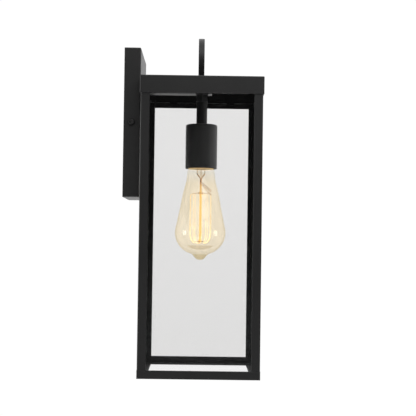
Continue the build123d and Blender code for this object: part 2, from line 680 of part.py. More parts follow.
def make_insulator():
    body = column(BODY_RADIUS, BODY_BOTTOM_Z, BODY_TOP_Z)
    body -= column(SHELL_BORE + SHELL_WALL + SHELL_GAP, BODY_BOTTOM_Z - CUT, SHELL_TOP_Z)
    body -= column(POCKET_RADIUS, SHELL_TOP_Z - CUT, BODY_SHOULDER_Z)
    rivet_hole = CONTACT_RIVET_RADIUS + TAP_GAP
    body -= column(rivet_hole, BODY_SHOULDER_Z - CUT, BODY_TOP_Z + CUT, y=CONTACT_RIVET_Y)
    y = (AXIS_Y - BODY_RADIUS, AXIS_Y + BODY_RADIUS)
    screw_hole = TERMINAL_SCREW.radius + TAP_GAP
    low = BODY_TOP_Z - BRIDGE_SCREW_LENGTH - SLIDE_GAP
    for side in (-1, 1):
        flat = low_high(side * TERMINAL_X, side * (BODY_RADIUS + CUT))
        body -= block(flat, y, (BODY_SHOULDER_Z, BODY_TOP_Z + CUT))
        end = (side * (TERMINAL_X - TERMINAL_SCREW_HOLE), AXIS_Y, TERMINAL_Z)
        body -= rod(screw_hole, end, (side * (TERMINAL_X + CUT), AXIS_Y, TERMINAL_Z))
        body -= column(BRIDGE_SCREW.radius + TAP_GAP, low, BODY_TOP_Z + CUT, y=side * BRIDGE_SCREW_Y)
        rivet_hole = SHELL_RIVET_RADIUS + TAP_GAP
        body -= column(rivet_hole, SHELL_TOP_Z - CUT, BODY_SHOULDER_Z + CUT, x=side * SHELL_RIVET_X)
    return body


def make_screw_shell():
    outer = SHELL_BORE + SHELL_WALL
    shell = tube(outer, SHELL_BORE, SHELL_LOW_Z, SHELL_TOP_Z)
    shell += tube(outer, POCKET_RADIUS, shell_floor_z, SHELL_TOP_Z)
    for side in (-1, 1):
        hole = SHELL_RIVET_RADIUS + TAP_GAP
        shell -= column(hole, shell_floor_z - CUT, SHELL_TOP_Z + CUT, x=side * SHELL_RIVET_X)
    return shell


def make_shell_rivet(x):
    top_z = BODY_SHOULDER_Z + SHELL_RIVET_HEIGHT
    rivet = column(SHELL_RIVET_RADIUS, shell_floor_z, top_z, x=x)
    rivet += column(SHELL_RIVET_HEAD, shell_floor_z - SHELL_RIVET_HEIGHT, shell_floor_z, x=x)
    return rivet + column(SHELL_RIVET_TAIL, BODY_SHOULDER_Z, top_z, x=x)


def make_centre_contact():
    x = (-CONTACT_HALF_WIDTH, CONTACT_HALF_WIDTH)
    bend = AXIS_Y + CONTACT_BEND_Y
    seat_z = BODY_SHOULDER_Z - CONTACT_SHEET
    strip = block(x, (AXIS_Y + CONTACT_FRONT_Y, bend), (tongue_z, tongue_z + CONTACT_SHEET))
    strip += block(x, (bend - CONTACT_SHEET, bend), (tongue_z, BODY_SHOULDER_Z))
    strip += block(x, (bend - CONTACT_SHEET, AXIS_Y + CONTACT_REAR_Y), (seat_z, BODY_SHOULDER_Z))
    hole = CONTACT_RIVET_RADIUS + TAP_GAP
    return strip - column(hole, seat_z - CUT, BODY_SHOULDER_Z + CUT, y=CONTACT_RIVET_Y)


def make_contact_rivet():
    low = BODY_SHOULDER_Z - CONTACT_SHEET
    top_z = BODY_TOP_Z + CONTACT_RIVET_HEIGHT
    rivet = column(CONTACT_RIVET_RADIUS, low, top_z, y=CONTACT_RIVET_Y)
    rivet += column(CONTACT_RIVET_HEAD, low - CONTACT_RIVET_HEIGHT, low, y=CONTACT_RIVET_Y)
    return rivet + column(CONTACT_RIVET_HEAD, BODY_TOP_Z, top_z, y=CONTACT_RIVET_Y)


def make_terminal_plate(side):
    face = low_high(side * TERMINAL_X, side * (TERMINAL_X + TERMINAL_SHEET))
    y = (AXIS_Y - TERMINAL_PLATE_HALF, AXIS_Y + TERMINAL_PLATE_HALF)
    plate = block(face, y, (BODY_SHOULDER_Z, BODY_TOP_Z))
    hole = TERMINAL_SCREW.radius + TAP_GAP
    plate -= rod(hole, (0, AXIS_Y, TERMINAL_Z), (side * (TERMINAL_X + CUT), AXIS_Y, TERMINAL_Z))
    notch_top = BODY_SHOULDER_Z + SHELL_RIVET_HEIGHT + SLIDE_GAP
    notch = SHELL_RIVET_TAIL + SLIDE_GAP
    return plate - column(notch, BODY_SHOULDER_Z - CUT, notch_top, x=side * SHELL_RIVET_X)


def make_terminal_screw(side):
    seat_x = side * (TERMINAL_X + TERMINAL_SHEET)
    tip_x = seat_x - side * TERMINAL_SCREW_LENGTH
    return pan_screw(TERMINAL_SCREW, (seat_x, AXIS_Y, TERMINAL_Z), (tip_x, AXIS_Y, TERMINAL_Z), (side, 0, 0))


parts["socket_bridge"] = [make_bridge()]
parts["bridge_screws"] = [make_bridge_screw(y) for y in (-BRIDGE_SCREW_Y, BRIDGE_SCREW_Y)]
parts["socket_insulator"] = [make_insulator()]
parts["screw_shell"] = [make_screw_shell()]
parts["shell_rivets"] = [make_shell_rivet(x) for x in (-SHELL_RIVET_X, SHELL_RIVET_X)]
parts["centre_contact"] = [make_centre_contact()]
parts["contact_rivet"] = [make_contact_rivet()]
parts["terminal_plates"] = [make_terminal_plate(side) for side in (-1, 1)]
parts["terminal_screws"] = [make_terminal_screw(side) for side in (-1, 1)]

# Live and neutral wires, from the connectors in the pan to the terminals in the cup


def make_supply_wire(side):
    pan_x = side * CONNECTOR_X
    nipple_x = side * WIRE_PITCH / 2
    cup_x = side * WIRE_OUT_X
    out_z = NIPPLE_LOW_Z - WIRE_TURN - 2 * TAP_GAP
    return wire([
        (pan_x, CONNECTOR_Y, CONNECTOR_MOUTH_Z - WIRE_IN_CONNECTOR),
        (pan_x, CONNECTOR_Y, WIRE_RISE_Z),
        (nipple_x, WIRE_PAN_Y, GROMMET_Z),
        (nipple_x, AXIS_Y, GROMMET_Z),
        (nipple_x, AXIS_Y, out_z),
        (cup_x, AXIS_Y, out_z),
        (cup_x, AXIS_Y, TERMINAL_Z + TERMINAL_SCREW.head_radius),
    ], [WIRE_PAN_RADIUS, WIRE_PAN_RADIUS, WIRE_TURN, WIRE_TURN, WIRE_TURN])


def make_connector(side):
    place = Pos(side * CONNECTOR_X, CONNECTOR_Y, CONNECTOR_MOUTH_Z - CONNECTOR_LENGTH)
    connector = place * extrude(Circle(CONNECTOR_RADIUS), CONNECTOR_LENGTH, taper=CONNECTOR_TAPER)
    connector = fillet(connector.edges().sort_by(Axis.Z)[0], 1.0)
    bore = extrude(Circle(CONNECTOR_BORE), CONNECTOR_BORE_DEPTH + CUT)
    return connector - place * Pos(0, 0, CONNECTOR_LENGTH - CONNECTOR_BORE_DEPTH) * bore


parts["neutral_wire"] = [make_supply_wire(-1)]
parts["live_wire"] = [make_supply_wire(1)]
parts["wire_connectors"] = [make_connector(side) for side in (-1, 1)]

# Bulb: glass envelope, screw base, insulator and contact tip


def envelope_curve(wall):
    """The envelope's half outline from neck to tip, in short smooth runs, moved inwards by the wall."""
    points = [(NECK_RADIUS - wall, 0, depth(NECK_LOW))]
    points += [(radius - wall, 0, depth(below)) for below, radius in BULB_OUTLINE]
    points.append((0, 0, BULB_TIP_Z + wall))
    tangents = [(1, 0, -0.6)]
    tangents += [(after[0] - before[0], 0, after[2] - before[2]) for before, after in zip(points, points[2:])]
    tangents.append((-1, 0, 0))
    runs = zip(points, points[1:], tangents, tangents[1:])
    return [Spline(start, end, tangents=[leave, arrive]) for start, end, leave, arrive in runs]


def make_bulb_glass():
    inner_neck = NECK_RADIUS - BULB_WALL
    neck_low = depth(NECK_LOW)
    neck_top = BASE_LOW_Z + NECK_IN_BASE
    rim = Polyline(
        (NECK_RADIUS, 0, neck_low), (NECK_RADIUS, 0, neck_top),
        (inner_neck, 0, neck_top), (inner_neck, 0, neck_low),
    )
    tip = Polyline((0, 0, BULB_TIP_Z), (0, 0, BULB_TIP_Z + BULB_WALL))
    outline = envelope_curve(0) + envelope_curve(BULB_WALL) + [rim, tip]
    return Pos(0, AXIS_Y, 0) * revolve(make_face(outline), Axis.Z)


def make_thread():
    """The rolled thread's ridge, as a helix that starts on the lantern's axis at Z = 0."""
    root_half = 1.05
    crest_half = 0.35
    sunk = 0.25
    foot = (THREAD_ROOT - sunk, root_half + SLIDE_GAP)
    half_section = [foot, (THREAD_ROOT, root_half), (THREAD_CREST, crest_half)]
    mirrored = [(radius, -height) for radius, height in half_section]
    section = make_face(Polyline(*mirrored, *reversed(half_section), close=True))
    helix = Helix(THREAD_PITCH, THREAD_PITCH * THREAD_TURNS, THREAD_ROOT)
    plane = Plane((0, 0, 0), x_dir=(1, 0, 0), z_dir=(0, -1, 0))
    return sweep(plane * section, path=helix, is_frenet=True)


def make_screw_base():
    inner = THREAD_ROOT - THREAD_WALL
    under_top = BASE_TOP_Z - THREAD_WALL
    shell = turned([
        (inner, BASE_LOW_Z), (THREAD_ROOT, BASE_LOW_Z),
        (THREAD_ROOT, BASE_TOP_Z - BASE_SHOULDER), (THREAD_ROOT - BASE_SHOULDER, BASE_TOP_Z),
        (INSULATOR_RADIUS, BASE_TOP_Z), (INSULATOR_RADIUS, under_top),
        (inner - BASE_SHOULDER + SLIDE_GAP, under_top), (inner, under_top - BASE_SHOULDER),
    ])
    return shell + Pos(0, AXIS_Y, BASE_LOW_Z + THREAD_START) * make_thread()


insulator_top_z = CONTACT_Z - CONTACT_TIP_HEIGHT - TAP_GAP
parts["bulb_glass"] = [make_bulb_glass()]
parts["bulb_screw_base"] = [make_screw_base()]
parts["bulb_insulator"] = [turned([
    (0, BASE_TOP_Z), (INSULATOR_RADIUS, BASE_TOP_Z), (INSULATOR_RADIUS + INSULATOR_BULGE, BASE_TOP_Z + 0.4),
    (INSULATOR_TOP_RADIUS, insulator_top_z), (0, insulator_top_z),
])]
parts["bulb_contact_tip"] = [turned([
    (0, CONTACT_Z - CONTACT_TIP_HEIGHT), (CONTACT_TIP_RADIUS, CONTACT_Z - CONTACT_TIP_HEIGHT),
    (CONTACT_TIP_RADIUS - 0.4, CONTACT_Z - 0.7), (CONTACT_TIP_RADIUS - 1.6, CONTACT_Z), (0, CONTACT_Z),
])]

# Inside the bulb


def make_stem():
    y = (AXIS_Y - PRESS_HALF_THICKNESS, AXIS_Y + PRESS_HALF_THICKNESS)
    press = block((-PRESS_HALF_WIDTH, PRESS_HALF_WIDTH), y, (depth(PRESS_LOW), depth(PRESS_TOP)))
    press = fillet(press.edges().filter_by(Axis.Z), PRESS_EDGE_RADIUS)
    return press + turned([(radius, depth(below)) for below, radius in STEM_GLASS_OUTLINE])


def make_centre_rod():
    centre_rod = column(ROD_RADIUS, depth(HUB_LOW), depth(PRESS_LOW))
    for hub in (HUB_TOP, HUB_LOW):
        centre_rod += Pos(0, AXIS_Y, depth(hub)) * Sphere(HUB_RADIUS)
    return centre_rod


def on_cage(angle, below, radius=CAGE_RADIUS):
    """A point at this angle round the lantern's axis and this far below the cup's edge."""
    return radius * math.cos(angle), AXIS_Y + radius * math.sin(angle), depth(below)


def spokes(below, angles):
    """Support wires from a hub's surface to the cage."""
    return [rod(SUPPORT_RADIUS, on_cage(angle, below, HUB_RADIUS), on_cage(angle, below)) for angle in angles]


def make_lead(side):
    start = (side * LEAD_START_X, AXIS_Y, depth(PRESS_LOW + LEAD_GAP))
    return rod(SUPPORT_RADIUS, start, (side * (CAGE_RADIUS - 1), AXIS_Y, depth(CAGE_TOP)))


strand_angles = [math.tau * (index + 0.5) / CAGE_STRANDS for index in range(CAGE_STRANDS)]
parts["bulb_stem"] = [make_stem()]
parts["bulb_centre_rod"] = [make_centre_rod()]
upper_angles = strand_angles[1:4] + strand_angles[6:9]
parts["bulb_supports"] = spokes(HUB_TOP, upper_angles) + spokes(HUB_LOW, strand_angles)
parts["bulb_filament"] = [
    rod(FILAMENT_RADIUS, on_cage(angle, CAGE_LOW), on_cage(angle, CAGE_TOP)) for angle in strand_angles
]
parts["bulb_lead_wires"] = [make_lead(side) for side in (-1, 1)]

os.makedirs("parts", exist_ok=True)
for name, solids in parts.items():
    export_step(Compound(children=solids), os.path.join("parts", name + ".step"))
print(len(parts), "nodes")
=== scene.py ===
import bpy
import json
import math
from mathutils import Matrix, Vector


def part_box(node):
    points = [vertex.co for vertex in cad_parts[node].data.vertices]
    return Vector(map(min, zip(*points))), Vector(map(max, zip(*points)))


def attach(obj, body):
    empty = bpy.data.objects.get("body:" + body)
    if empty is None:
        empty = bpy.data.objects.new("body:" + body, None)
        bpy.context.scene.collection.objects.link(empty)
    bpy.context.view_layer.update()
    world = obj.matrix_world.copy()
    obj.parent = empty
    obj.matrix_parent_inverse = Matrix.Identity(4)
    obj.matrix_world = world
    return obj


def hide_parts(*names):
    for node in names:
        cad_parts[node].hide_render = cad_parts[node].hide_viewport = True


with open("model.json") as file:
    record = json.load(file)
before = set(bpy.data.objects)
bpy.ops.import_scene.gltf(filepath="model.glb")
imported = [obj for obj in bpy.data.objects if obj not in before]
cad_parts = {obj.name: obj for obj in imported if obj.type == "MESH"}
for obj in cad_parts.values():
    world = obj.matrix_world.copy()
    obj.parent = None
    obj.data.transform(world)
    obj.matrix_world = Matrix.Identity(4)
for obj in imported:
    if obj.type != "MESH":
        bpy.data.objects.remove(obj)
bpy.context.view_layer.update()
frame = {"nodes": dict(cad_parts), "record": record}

MM = 0.001
TINY = 1e-7
nodes = frame["nodes"]
cup_low, cup_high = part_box("socket_cup")
glass_low, glass_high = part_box("bulb_glass")
AXIS_X = (cup_low.x + cup_high.x) / 2
AXIS_Y = (cup_low.y + cup_high.y) / 2
CUP_Z = cup_low.z
TIP_Z = glass_low.z
BODY_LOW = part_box("bottom_rail_front")[0].z
BODY_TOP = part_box("top_cap")[1].z
FRAME_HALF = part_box("post_front_right")[1].x


def depth(value):
    """The height of a point value millimetres below the cup."""
    return CUP_Z - value * MM


# Node helpers

class Nodes:
    """Short calls for adding and joining shader nodes."""

    def __init__(self, tree):
        self.tree = tree
        self.position = None

    def add(self, kind, **settings):
        node = self.tree.nodes.new(kind)
        for key, value in settings.items():
            setattr(node, key, value)
        return node

    def link(self, source, target):
        self.tree.links.new(source, target)

    def put(self, value, socket):
        """Another node's output, a colour, a vector or a number, put into a socket."""
        if isinstance(value, bpy.types.NodeSocket):
            self.link(value, socket)
        elif socket.type == "RGBA":
            socket.default_value = (*value, 1.0)
        else:
            socket.default_value = value

    def set(self, node, **values):
        """Fills inputs by their names, with _ for a space."""
        for key, value in values.items():
            self.put(value, node.inputs[key.replace("_", " ")])
        return node

    def place(self):
        """Object coordinates, in metres in the row frame."""
        if self.position is None:
            self.position = self.add("ShaderNodeTexCoord").outputs["Object"]
        return self.position

    def split(self, vector):
        return self.set(self.add("ShaderNodeSeparateXYZ"), Vector=vector).outputs

    def height(self):
        return self.split(self.place())["Z"]

    def noise(self, scale, detail=3.0, rough=0.5, stretch=None):
        source = self.place()
        if stretch:
            source = self.set(self.add("ShaderNodeMapping"), Vector=source, Scale=stretch).outputs[0]
        node = self.add("ShaderNodeTexNoise")
        self.set(node, Vector=source, Scale=scale, Detail=detail, Roughness=rough)
        return node.outputs["Fac"]

    def cells(self, scale):
        node = self.set(self.add("ShaderNodeTexVoronoi"), Vector=self.place(), Scale=scale)
        return node.outputs["Distance"]

    def span(self, value, low, high, from_low=0.0, from_high=1.0):
        """value moved from one range to another, and kept in it."""
        node = self.add("ShaderNodeMapRange")
        self.set(node, Value=value, From_Min=from_low, From_Max=from_high, To_Min=low, To_Max=high)
        return node.outputs["Result"]

    def math(self, operation, first, second):
        node = self.add("ShaderNodeMath", operation=operation)
        self.put(first, node.inputs[0])
        self.put(second, node.inputs[1])
        return node.outputs[0]

    def vector(self, operation, first, second=None):
        """A vector operation. Its result is a number for a length or a dot product."""
        node = self.add("ShaderNodeVectorMath", operation=operation)
        self.put(first, node.inputs[0])
        if second is not None:
            self.put(second, node.inputs[1])
        return node.outputs["Value" if operation in ("DOT_PRODUCT", "LENGTH") else "Vector"]

    def blend(self, factor, first, second, kind="MIX"):
        """A colour between two colours, or their product when kind says so, by a factor."""
        node = self.add("ShaderNodeMix", data_type="RGBA", blend_type=kind)
        self.put(factor, node.inputs["Factor"])
        self.put(first, node.inputs[6])
        self.put(second, node.inputs[7])
        return node.outputs[2]

    def grey(self, value):
        return self.set(self.add("ShaderNodeCombineColor"), Red=value, Green=value, Blue=value).outputs[0]

    def bump(self, height, strength, distance, normal=None):
        node = self.set(self.add("ShaderNodeBump"), Height=height, Strength=strength, Distance=distance)
        if normal is not None:
            self.link(normal, node.inputs["Normal"])
        return node.outputs["Normal"]

    def shader(self, kind, **values):
        return self.set(self.add(kind), **values).outputs[0]

    def principled(self, **values):
        return self.shader("ShaderNodeBsdfPrincipled", **values)

    def mix(self, factor, first, second):
        """A mix of two shaders."""
        node = self.add("ShaderNodeMixShader")
        for value, socket in zip((factor, first, second), node.inputs):
            self.link(value, socket)
        return node.outputs[0]

    def sum(self, first, second):
        """Two shaders added up."""
        node = self.add("ShaderNodeAddShader")
        for value, socket in zip((first, second), node.inputs):
            self.link(value, socket)
        return node.outputs[0]

    def finish(self, shader):
        self.link(shader, self.add("ShaderNodeOutputMaterial").inputs["Surface"])


def new_material(name):
    """An empty material and its nodes."""
    material = bpy.data.materials.new(name)
    material.use_nodes = True
    material.node_tree.nodes.clear()
    return material, Nodes(material.node_tree)


# Materials

ROUNDING = 0.9 * MM
SQUARE_ON_GLOSS = 0.04
SLANT_GLOSS = 0.35
SLANT_POWER = 5.0


def inside_frame(n):
    """1 on faces inside the frame that look at the lantern's axis, 0 elsewhere."""
    offset = n.vector("SUBTRACT", (AXIS_X, AXIS_Y, 0.0), n.place())
    to_axis = n.vector("MULTIPLY", offset, (1.0, 1.0, 0.0))
    normal = n.add("ShaderNodeNewGeometry").outputs["Normal"]
    looks_in = n.math("GREATER_THAN", n.vector("DOT_PRODUCT", n.vector("NORMALIZE", to_axis), normal), 0.3)
    sides = n.split(n.vector("ABSOLUTE", to_axis))
    reach = n.math("MAXIMUM", sides["X"], sides["Y"])
    return n.math("MULTIPLY", looks_in, n.math("LESS_THAN", reach, FRAME_HALF + 0.4 * MM))


def screw_gap_shade(n):
    """1 in the narrow ring of painted shade round the heads of the two side screws, 0 elsewhere."""
    low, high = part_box("side_screw_left")
    head = (high.z - low.z) / 2
    offset = n.vector("SUBTRACT", tuple((low + high) / 2), n.place())
    radius = n.vector("LENGTH", n.vector("MULTIPLY", offset, (0.0, 1.0, 1.0)))
    inner = n.span(radius, 0.0, 1.0, head - 0.75 * MM, head - 0.45 * MM)
    outer = n.span(radius, 1.0, 0.0, head + 0.15 * MM, head + 0.5 * MM)
    return n.math("MULTIPLY", inner, outer)


def black_paint(name, sheen):
    """Satin black powder coat: orange peel, cloudiness and rounded edges. Inside the frame: painted shade and
    a rougher coat above, and below a lighter base that is partly a dusting and partly painted light. Painted
    shade round the side screws' heads."""
    material, n = new_material(name)
    cloud = n.noise(14, 4, 0.6)
    grain = n.noise(900, 2, 0.6)
    peel = n.noise(420, 2, 0.45)
    gap_shade = screw_gap_shade(n)
    inside = inside_frame(n)
    above = n.span(n.height(), 0.0, 1.0, BODY_LOW + 12 * MM, BODY_TOP - 150 * MM)
    shade_and_dull = n.math("MULTIPLY", inside, above)
    dust_and_painted_light = n.math("MULTIPLY", inside, n.math("SUBTRACT", 1.0, above))
    scuffs = n.span(n.noise(60, 4, 0.7, (1, 1, 5)), 0.45, 1.0, 0.4, 0.65)

    colour = n.blend(cloud, (0.0155, 0.0155, 0.0158), (0.0225, 0.0222, 0.022))
    # Painted shade in the ring round the side screws' heads: near-black colour here, and less gloss below.
    colour = n.blend(gap_shade, colour, (0.001, 0.001, 0.001))
    # Lighter, scuffed base low on the frame's inner faces: partly a dusting, partly painted light.
    colour = n.blend(n.math("MULTIPLY", dust_and_painted_light, scuffs), colour, (0.085, 0.085, 0.088))
    # Painted shade on the frame's inner faces above the bottom: a far darker base, less gloss and sheen, and
    # a rougher coat.
    colour = n.blend(shade_and_dull, colour, (0.0035, 0.0035, 0.0035))
    gloss = n.math("MULTIPLY", n.span(shade_and_dull, 0.5, 0.10), n.span(gap_shade, 1.0, 0.2))
    rough = n.math("ADD", n.span(cloud, 0.36, 0.46), n.span(grain, -0.04, 0.05))
    rough = n.math("ADD", rough, n.math("MULTIPLY", shade_and_dull, 0.2))
    rounded = n.set(n.add("ShaderNodeBevel", samples=6), Radius=ROUNDING).outputs[0]
    texture = n.math("ADD", peel, n.math("MULTIPLY", grain, 0.4))
    n.finish(n.principled(
        Base_Color=colour,
        Specular_IOR_Level=gloss,
        Roughness=rough,
        Sheen_Weight=n.span(shade_and_dull, sheen, 0.0),
        Normal=n.bump(texture, 0.35, 0.06 * MM, rounded),
    ))
    return material


def plated(name, dark, light, rough, streak=(1, 1, 1)):
    """Bare or plated metal with fine drawn streaks and dulled patches."""
    material, n = new_material(name)
    cloud = n.noise(120, 4, 0.6)
    lines = n.noise(700, 2, 0.5, streak)
    uneven = n.math("ADD", n.span(cloud, rough - 0.06, rough + 0.08), n.span(lines, -0.04, 0.04))
    n.finish(n.principled(
        Metallic=1.0,
        Base_Color=n.blend(cloud, dark, light),
        Roughness=uneven,
        Normal=n.bump(lines, 0.2, 0.03 * MM),
    ))
    return material


def plastic(name, dark, light, rough, scale=300, relief=0.03 * MM):
    """A moulded or coated surface with slight cloudiness and a fine texture."""
    material, n = new_material(name)
    grain = n.noise(scale, 3, 0.6)
    n.finish(n.principled(
        Base_Color=n.blend(n.noise(60, 3, 0.55), dark, light),
        Specular_IOR_Level=0.5,
        Roughness=n.span(grain, rough - 0.06, rough + 0.08),
        Normal=n.bump(grain, 0.3, relief),
    ))
    return material


def foam():
    """Closed-cell foam rubber: open pores over a matte black."""
    material, n = new_material("foam_rubber")
    pores = n.cells(1400)
    n.finish(n.principled(
        Base_Color=n.blend(n.span(pores, 0.0, 1.0, 0.1, 0.7), (0.006, 0.006, 0.006), (0.03, 0.03, 0.031)),
        Specular_IOR_Level=0.3,
        Roughness=n.span(n.noise(90, 3, 0.6), 0.78, 0.95),
        Normal=n.bump(pores, 0.7, 0.2 * MM),
    ))
    return material


def see_through(name, tints, gloss_rough, wear=None, light=None, slant=2.0):
    """Thin clear glass: it tints what is behind it, and mirrors more at a slant. tints are its colours seen
    square on and edge on. wear changes the tint. light gives the painted glow of the filament's light in the
    glass: its colour and strength."""
    material, n = new_material(name)
    facing = n.set(n.add("ShaderNodeLayerWeight"), Blend=0.5).outputs["Facing"]
    tint = n.blend(n.math("POWER", facing, slant), *tints)
    if wear:
        tint = wear(n, facing, tint)
    clear = n.shader("ShaderNodeBsdfTransparent", Color=tint)
    mirror = n.shader("ShaderNodeBsdfGlossy", Roughness=gloss_rough)
    shader = n.mix(n.span(n.math("POWER", facing, SLANT_POWER), SQUARE_ON_GLOSS, SLANT_GLOSS), clear, mirror)
    if light:
        colour, strength = light(n, facing)
        # The glass's own painted glow, added as emission.
        shader = n.sum(shader, n.shader("ShaderNodeEmission", Color=colour, Strength=strength))
    n.finish(shader)
    return material


def pane_glass():
    """Clear soda-lime glass with a faint cloudy film, and a trace darker towards the bottom."""
    def film_and_low_tint(n, facing, tint):
        film = n.span(n.noise(9, 3, 0.6), 0.0, 0.008)
        darker_low = n.span(n.height(), 0.018, 0.0, BODY_LOW, BODY_TOP)
        left = n.math("SUBTRACT", 1.0, n.math("ADD", film, darker_low))
        return n.blend(1.0, tint, n.grey(left), "MULTIPLY")
    return see_through("clear_glass", ((0.976, 0.975, 0.974), (0.55, 0.58, 0.57)), 0.02, wear=film_and_low_tint)


def ground_edge():
    """The panes' ground edges: frosted glass with a grey-green cast and small chips."""
    material, n = new_material("ground_edge")
    chips = n.noise(700, 3, 0.7)
    n.finish(n.principled(
        Base_Color=n.blend(n.span(chips, 0.0, 1.0, 0.45, 0.65), (0.05, 0.06, 0.058), (0.30, 0.33, 0.32)),
        Specular_IOR_Level=0.6,
        Roughness=n.span(chips, 0.35, 0.7),
        Normal=n.bump(chips, 0.5, 0.1 * MM),
    ))
    return material


def amber_glass():
    """Amber glass: drawn streaks, paler at the neck, thicker at its foot, with painted shade above the foot,
    a painted golden band at the top of the neck, and a painted glow of the filament's light.
    """
    def drawn(n, facing, tint):
        z = n.height()
        tint = n.blend(n.span(z, 0.0, 0.7, depth(18), depth(2)), tint, (0.998, 0.996, 0.985))
        streak = n.span(n.noise(240, 2, 0.5, (1, 1, 0.03)), 1.0, 0.978, 0.35, 0.65)
        tint = n.blend(1.0, tint, n.grey(streak), "MULTIPLY")
        # A darker patch above the foot, on the part that faces the view at a set slant: painted shade seen
        # through the bulb's lens-like bottom.
        foot = n.math("MULTIPLY", n.span(z, 1.0, 0.0, depth(97), depth(96.3)),
                      n.span(z, 0.0, 1.0, depth(105.8), depth(105)))
        foot = n.math("MULTIPLY", foot, n.span(facing, 1.0, 0.0, 0.36, 0.40))
        tint = n.blend(foot, tint, (0.945, 0.905, 0.82))
        tint = n.blend(n.span(z, 1.0, 0.0, depth(109), depth(106.5)), tint, (0.935, 0.895, 0.79))
        # Golden tint at the top of the neck: painted colour for a golden band of light there.
        return n.blend(n.span(z, 0.0, 0.8, depth(1.0), depth(0.3)), tint, (0.96, 0.88, 0.68))

    def glow(n, facing):
        z = n.height()
        band = n.math("MULTIPLY", n.span(z, 0.0, 1.0, depth(99), depth(82)),
                      n.span(z, 1.0, 0.0, depth(46), depth(14)))
        # Painted glow of the filament's light: a core that faces the view, and a weaker glow all over.
        core = n.math("MULTIPLY", band, n.span(facing, 1.0, 0.0, 0.07, 0.19))
        everywhere = n.math("MULTIPLY", n.span(z, 0.044, 0.026, depth(24), depth(0)),
                            n.span(z, 0.35, 1.0, depth(112), depth(96)))
        body = n.math("ADD", n.math("MULTIPLY", core, 0.036), everywhere)
        # Painted golden glow at the top of the neck.
        painted_rim_glow = n.span(z, 0.0, 1.0, depth(1.5), depth(0.6))
        colour = n.blend(painted_rim_glow, (1.0, 0.86, 0.70), (1.0, 0.74, 0.42))
        return colour, n.math("ADD", body, n.math("MULTIPLY", painted_rim_glow, 0.13))

    tints = ((1.0, 0.974, 0.912), (0.99, 0.925, 0.80))
    return see_through("amber_glass", tints, 0.12, drawn, glow, slant=6.0)


def rod_glass():
    """The centre rod's glass, full of the filament's light where the cage is."""
    def glow(n, facing):
        # Painted glow of the filament's light along the rod.
        band = n.math("MULTIPLY", n.span(n.height(), 0.0, 1.0, depth(94), depth(88)),
                      n.span(n.height(), 1.0, 0.25, depth(36), depth(24)))
        return (1.0, 0.62, 0.14), n.math("MULTIPLY", band, 0.16)
    return see_through("rod_glass", ((0.95, 0.80, 0.46), (0.70, 0.40, 0.10)), 0.06, light=glow)


def glowing_filament():
    """Carbon filament at work: hottest near its foot, and uneven along each strand."""
    material, n = new_material("filament")
    uneven = n.noise(500, 2, 0.5)
    hot = n.span(n.height(), 2.2, 1.3, depth(90), depth(66))
    n.finish(n.shader(
        "ShaderNodeEmission",
        Color=n.blend(n.span(uneven, 0.0, 1.0, 0.35, 0.65), (1.0, 0.60, 0.16), (1.0, 0.84, 0.50)),
        Strength=n.math("MULTIPLY", hot, n.span(uneven, 0.8, 1.25, 0.3, 0.7)),
    ))
    return material


def lit_wire():
    """Copper wire in the light of the filament, which is painted on as its own glow."""
    material, n = new_material("lit_wire")
    tarnish = n.noise(600, 3, 0.6)
    colour = n.blend(n.span(tarnish, 0.0, 1.0, 0.4, 0.6), (0.06, 0.028, 0.01), (0.80, 0.40, 0.12))
    n.finish(n.principled(
        Metallic=0.6,
        Roughness=0.35,
        Base_Color=colour,
        Emission_Color=colour,
        Emission_Strength=n.span(tarnish, 0.2, 0.6, 0.4, 0.6),
        Normal=n.bump(tarnish, 0.2, 0.05 * MM),
    ))
    return material


STEM_TINTS = ((0.995, 0.99, 0.975), (0.80, 0.74, 0.64))
MATERIALS = {
    "black_paint": black_paint("black_paint", 0.06),
    "clear_glass": pane_glass(),
    "filament": glowing_filament(),
    "amber_glass": amber_glass(),
    "bulb_stem_glass": see_through("bulb_stem_glass", STEM_TINTS, 0.05, slant=4.0),
    "zinc_steel": plated("zinc_steel", (0.42, 0.42, 0.41), (0.62, 0.62, 0.60), 0.34),
    "nickel": plated("nickel", (0.52, 0.49, 0.43), (0.72, 0.69, 0.62), 0.22, (1, 1, 6)),
    "brass": plated("brass", (0.62, 0.44, 0.18), (0.80, 0.62, 0.30), 0.28),
    "copper_wire": plated("copper_wire", (0.60, 0.30, 0.16), (0.80, 0.46, 0.26), 0.30),
    "foam_rubber": foam(),
    "green_paint": plastic("green_paint", (0.02, 0.16, 0.05), (0.03, 0.24, 0.08), 0.35),
    "green_insulation": plastic("green_insulation", (0.02, 0.20, 0.06), (0.03, 0.28, 0.09), 0.42),
    "black_insulation": plastic("black_insulation", (0.012, 0.012, 0.012), (0.022, 0.022, 0.022), 0.45),
    "white_insulation": plastic("white_insulation", (0.60, 0.60, 0.57), (0.72, 0.72, 0.69), 0.45),
    "connector_plastic": plastic("connector_plastic", (0.62, 0.20, 0.03), (0.72, 0.27, 0.05), 0.40),
    "porcelain": plastic("porcelain", (0.66, 0.65, 0.60), (0.76, 0.75, 0.71), 0.16, 80, 0.02 * MM),
    "black_glass": plastic("black_glass", (0.006, 0.006, 0.008), (0.012, 0.012, 0.015), 0.12, 80, 0.01 * MM),
}
CUP_PAINT = black_paint("cup_paint", 0.5)
GROUND_EDGE = ground_edge()
LIT_WIRE = lit_wire()
ROD_GLASS = rod_glass()

for entry in frame["record"]["subparts"]:
    material = MATERIALS.get(entry["material_slot"])
    if material is not None:
        node = nodes[entry["node"]]
        node.data.materials.clear()
        node.data.materials.append(material)
nodes["socket_cup"].data.materials[0] = CUP_PAINT


# Mesh helpers

